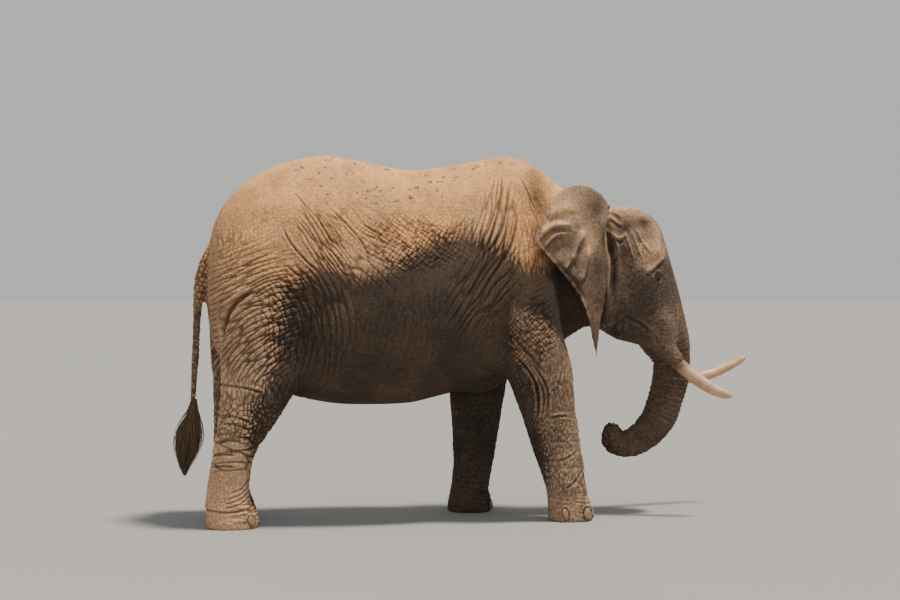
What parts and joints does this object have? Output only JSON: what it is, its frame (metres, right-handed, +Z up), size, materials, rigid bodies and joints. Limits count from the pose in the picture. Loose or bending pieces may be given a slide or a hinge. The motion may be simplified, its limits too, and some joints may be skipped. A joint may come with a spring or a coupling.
{
  "type": "elephant figure",
  "caption": "Life-size still figure of a grown female African bush elephant, walking with its trunk curled in under its chin and its tusks forward.",
  "frame": {"origin": "on the floor under the middle of the animal's bounding box", "axes": "+X towards the head, +Y to the animal's left, +Z up"},
  "size_m": [4.1322, 1.0716, 2.488],
  "materials": {
    "hide": "dry, deeply wrinkled, dull",
    "hide_dusty": "dry, wrinkled, covered with pale red-brown dust",
    "ivory": "worn satin, stained at the root",
    "nail": "worn horn",
    "eye": "wet and glossy",
    "hair": "coarse wiry hair"
  },
  "bodies": {
    "root": {"rump": "hide_dusty", "barrel": "hide_dusty", "chest": "hide_dusty", "neck": "hide", "head": "hide", "lower_jaw": "hide", "trunk_base": "hide", "trunk_upper": "hide", "trunk_middle": "hide", "trunk_lower": "hide", "trunk_tip": "hide", "tail_root": "hide", "tail_whip": "hide", "right_ear": "hide", "right_upper_arm": "hide", "right_forearm": "hide", "right_forefoot": "hide", "right_thigh": "hide", "right_shank": "hide", "right_hindfoot": "hide", "left_ear": "hide", "left_upper_arm": "hide", "left_forearm": "hide", "left_forefoot": "hide", "left_thigh": "hide", "left_shank": "hide", "left_hindfoot": "hide", "right_tusk": "ivory", "right_eye": "eye", "right_fore_nail_1": "nail", "right_fore_nail_2": "nail", "right_fore_nail_3": "nail", "right_fore_nail_4": "nail", "right_hind_nail_1": "nail", "right_hind_nail_2": "nail", "right_hind_nail_3": "nail", "left_tusk": "ivory", "left_eye": "eye", "left_fore_nail_1": "nail", "left_fore_nail_2": "nail", "left_fore_nail_3": "nail", "left_fore_nail_4": "nail", "left_hind_nail_1": "nail", "left_hind_nail_2": "nail", "left_hind_nail_3": "nail", "tail_tuft": "hair"}
  },
  "joints": []
}
